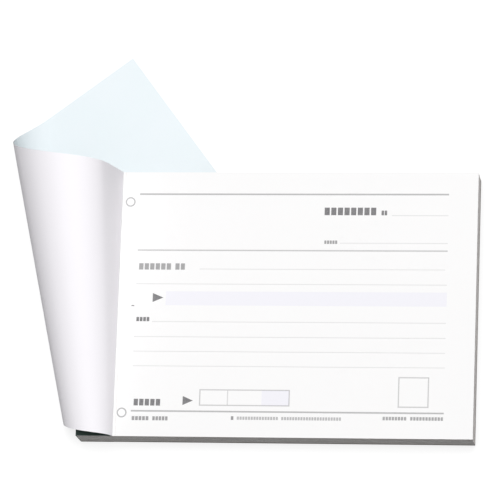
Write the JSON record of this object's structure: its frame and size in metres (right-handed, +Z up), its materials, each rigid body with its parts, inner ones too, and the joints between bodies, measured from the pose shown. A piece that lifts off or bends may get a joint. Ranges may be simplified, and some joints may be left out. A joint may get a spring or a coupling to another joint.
{
  "type": "duplicate receipt book",
  "caption": "Landscape pad of paired receipt leaves, taped and stapled on the left, with its thin card cover rolled back under the book and a top form that tears off.",
  "frame": {"origin": "on the table under the middle of the cover's crease, on the underside of the cover's end", "axes": "+X from the spine to the free edge, +Y from the front edge to the back edge, +Z up from the table"},
  "size_m": [0.1748, 0.1477, 0.0365],
  "materials": {
    "white_paper": "matte",
    "copy_paper": "matte",
    "cover_card": "satin",
    "grey_board": "matte",
    "green_tape": "matte",
    "staple_wire": "satin"
  },
  "bodies": {
    "book": {"back_board": "grey_board", "binding_tape": "green_tape", "wire_staples": "staple_wire", "front_cover_stub": "cover_card", "original_01_stub": "white_paper", "original_02_stub": "white_paper", "original_03_stub": "white_paper", "copy_01": "copy_paper", "copy_02": "copy_paper", "copy_03": "copy_paper", "lower_originals": "white_paper", "lower_copies": "copy_paper"},
    "first_original": {"original_01": "white_paper"},
    "second_original": {"original_02": "white_paper"},
    "third_original": {"original_03": "white_paper"},
    "cover_1": {"cover_part_1": "cover_card"},
    "cover_2": {"cover_part_2": "cover_card"},
    "cover_3": {"cover_part_3": "cover_card"},
    "cover_4": {"cover_part_4": "cover_card"},
    "cover_5": {"cover_part_5": "cover_card"}
  },
  "joints": [
    {"name": "first_original_tear_off", "type": "slide", "parent": "book", "child": "first_original", "axis": [1, 0, 0], "range_m": [0, 0.15]},
    {"name": "second_original_tear_off", "type": "slide", "parent": "book", "child": "second_original", "axis": [1, 0, 0], "range_m": [0, 0.15]},
    {"name": "third_original_tear_off", "type": "slide", "parent": "book", "child": "third_original", "axis": [1, 0, 0], "range_m": [0, 0.15]},
    {"name": "cover_crease", "type": "hinge", "parent": "book", "child": "cover_1", "pos_m": [0, -0.05, 0.01229], "axis": [0, 1, 0], "range_deg": [0, 103.6]},
    {"name": "cover_bend_1", "type": "hinge", "parent": "cover_1", "child": "cover_2", "pos_m": [-0.00188, -0.04998, 0.01592], "axis": [-0.0518, 0.9859, 0.1589], "range_deg": [0, 63.34]},
    {"name": "cover_bend_2", "type": "hinge", "parent": "cover_2", "child": "cover_3", "pos_m": [-0.01036, -0.0491, 0.01755], "axis": [-0.1349, 0.9758, 0.172], "range_deg": [0, 63.34]},
    {"name": "cover_bend_3", "type": "hinge", "parent": "cover_3", "child": "cover_4", "pos_m": [-0.01896, -0.04486, 0.00802], "axis": [-0.2108, 0.9747, 0.0742], "range_deg": [0, 63.34]},
    {"name": "cover_bend_4", "type": "hinge", "parent": "cover_4", "child": "cover_5", "pos_m": [-0.01658, -0.04026, 0.00098], "axis": [-0.1818, 0.9833, 0.0072], "range_deg": [0, 63.34]}
  ],
  "couplings": [
    {"joint": "cover_bend_1", "follows": "cover_crease", "ratio": 0.61125},
    {"joint": "cover_bend_2", "follows": "cover_crease", "ratio": 0.61125},
    {"joint": "cover_bend_3", "follows": "cover_crease", "ratio": 0.61125},
    {"joint": "cover_bend_4", "follows": "cover_crease", "ratio": 0.61125}
  ]
}
